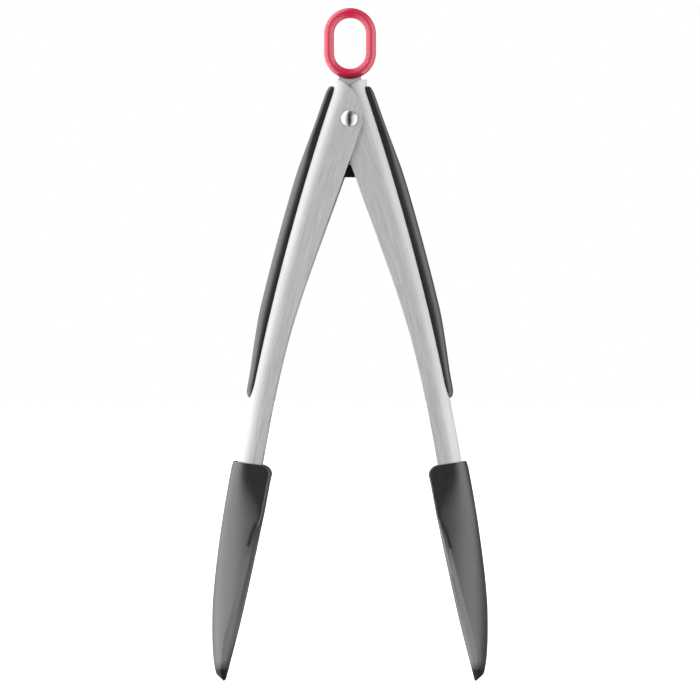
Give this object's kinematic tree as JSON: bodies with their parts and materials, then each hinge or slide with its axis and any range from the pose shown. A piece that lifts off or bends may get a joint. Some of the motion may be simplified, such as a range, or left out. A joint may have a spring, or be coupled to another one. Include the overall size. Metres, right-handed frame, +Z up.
{
  "type": "spring loaded kitchen tongs",
  "caption": "Spring loaded kitchen tongs: steel channel arms on a pivot rivet, soft grips, dished silicone heads and a pull ring that locks them shut.",
  "frame": {"origin": "top of the ring's hole, where a hook carries the tongs", "axes": "+Z up towards the ring's top with the heads hanging down, Y along the pivot rivet with its domed head at -Y, +X to the right across the open jaws"},
  "size_m": [0.1232, 0.0358, 0.3002],
  "materials": {
    "brushed_arms": "satin, brushed along the arm",
    "polished_rivet": "polished",
    "inner_steel": "mill finish",
    "spring_wire": "drawn wire",
    "grip_soft_touch": "soft matt with a slight sheen",
    "silicone_heads": "matt, fine grain",
    "black_nylon": "moulded",
    "red_ring": "glossy"
  },
  "bodies": {
    "pivot": {"pivot_rivet": "polished_rivet", "rivet_cap": "polished_rivet", "spacer_sleeve": "inner_steel", "front_washer": "black_nylon", "back_washer": "black_nylon", "torsion_spring": "spring_wire"},
    "left_arm": {"left_arm_channel": "brushed_arms", "left_grip": "grip_soft_touch", "left_boot": "silicone_heads", "left_head_core": "black_nylon", "left_core_rivet": "inner_steel", "left_lock_catch": "inner_steel"},
    "right_arm": {"right_arm_channel": "brushed_arms", "right_grip": "grip_soft_touch", "right_boot": "silicone_heads", "right_head_core": "black_nylon", "right_core_rivet": "inner_steel", "right_lock_catch": "inner_steel"},
    "lock_slider": {"pull_ring": "red_ring", "lock_strip": "inner_steel", "lock_block": "black_nylon", "block_pin": "inner_steel"}
  },
  "joints": [
    {"name": "left_arm_hinge", "type": "hinge", "parent": "pivot", "child": "left_arm", "pos_m": [0, 0, -0.0453], "axis": [0, -1, 0], "range_deg": [0, 12.3], "stiffness_Nm_per_rad": 0.8, "springref_deg": -20.05, "deforming": ["torsion_spring"]},
    {"name": "right_arm_hinge", "type": "hinge", "parent": "pivot", "child": "right_arm", "pos_m": [0, 0, -0.0453], "axis": [0, 1, 0], "range_deg": [0, 12.3], "stiffness_Nm_per_rad": 0.8, "springref_deg": -20.05, "deforming": ["torsion_spring"]},
    {"name": "lock_slide", "type": "slide", "parent": "pivot", "child": "lock_slider", "axis": [0, 0, 1], "range_m": [0, 0.006]}
  ]
}
